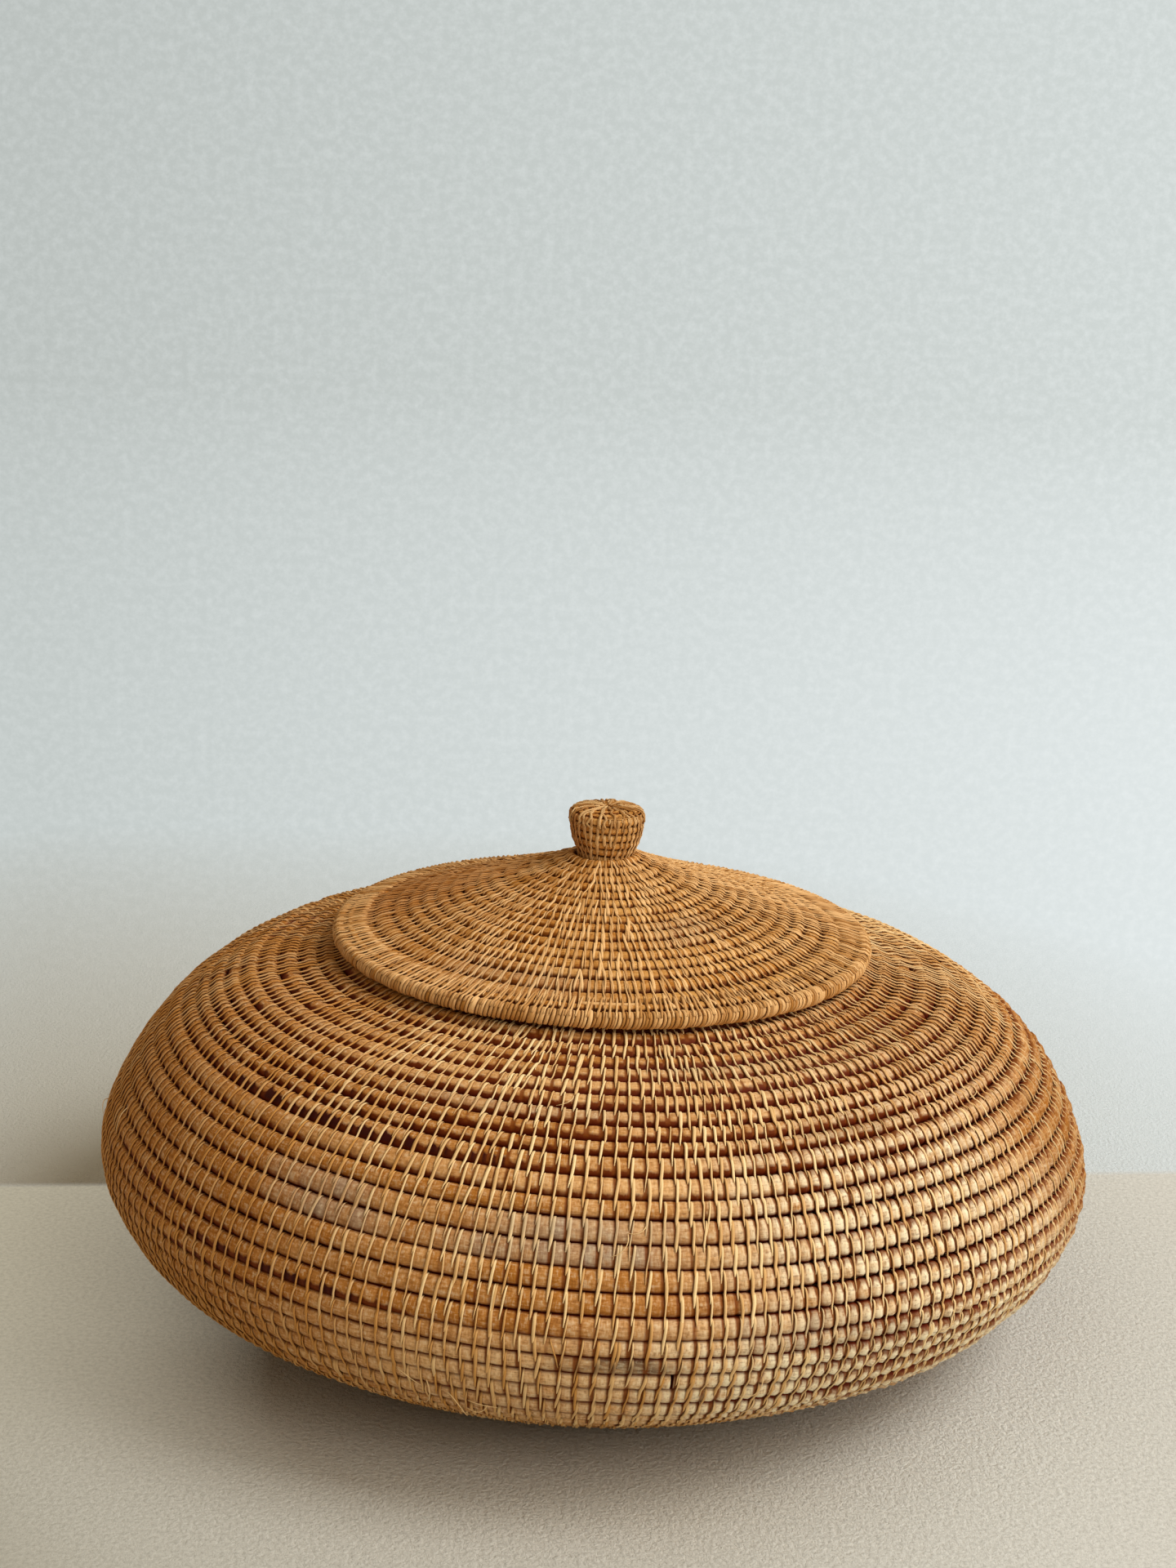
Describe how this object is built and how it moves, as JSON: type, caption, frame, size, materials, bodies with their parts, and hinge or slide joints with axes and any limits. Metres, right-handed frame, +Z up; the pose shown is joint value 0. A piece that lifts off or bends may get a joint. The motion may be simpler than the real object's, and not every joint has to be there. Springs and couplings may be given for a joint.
{
  "type": "lidded basket",
  "caption": "Squat round basket of coiled cane with a flat base, a wide belly and a shallow conical lid with a bound rim and a small knob; the lid lifts off.",
  "frame": {"origin": "centre of the flat base, on the surface the basket stands on", "axes": "+Z up along the basket's axis, through the middle of the mouth and the knob; the basket is round, and the side that the picture shows faces -Y"},
  "size_m": [0.4502, 0.4502, 0.2259],
  "materials": {
    "cane": "satin split cane, golden brown with greyer lengths",
    "pale_cane": "satin cane, a little more golden than the wall",
    "dark_cane": "dull brown cane"
  },
  "bodies": {
    "basket": {"base_centre_rod": "dark_cane", "base_outer_rod": "dark_cane", "wall_rod_01": "cane", "wall_rod_02": "cane", "wall_rod_03": "cane", "wall_rod_04": "cane", "wall_rod_05": "cane", "wall_rod_06": "cane", "wall_rod_07": "cane", "wall_rod_08": "cane", "mouth_rod": "dark_cane"},
    "lid": {"lid_outer_rod": "pale_cane", "lid_middle_rod": "pale_cane", "lid_crown_rod": "pale_cane", "lid_rim_wrap": "pale_cane", "lid_rim_core": "cane", "lid_flange_ring": "dark_cane", "knob_side_rod": "cane", "knob_top_rod": "cane", "knob_core": "dark_cane"}
  },
  "joints": [
    {"name": "lid_lift", "type": "slide", "parent": "basket", "child": "lid", "axis": [0, 0, 1], "range_m": [0, 0.12]}
  ]
}
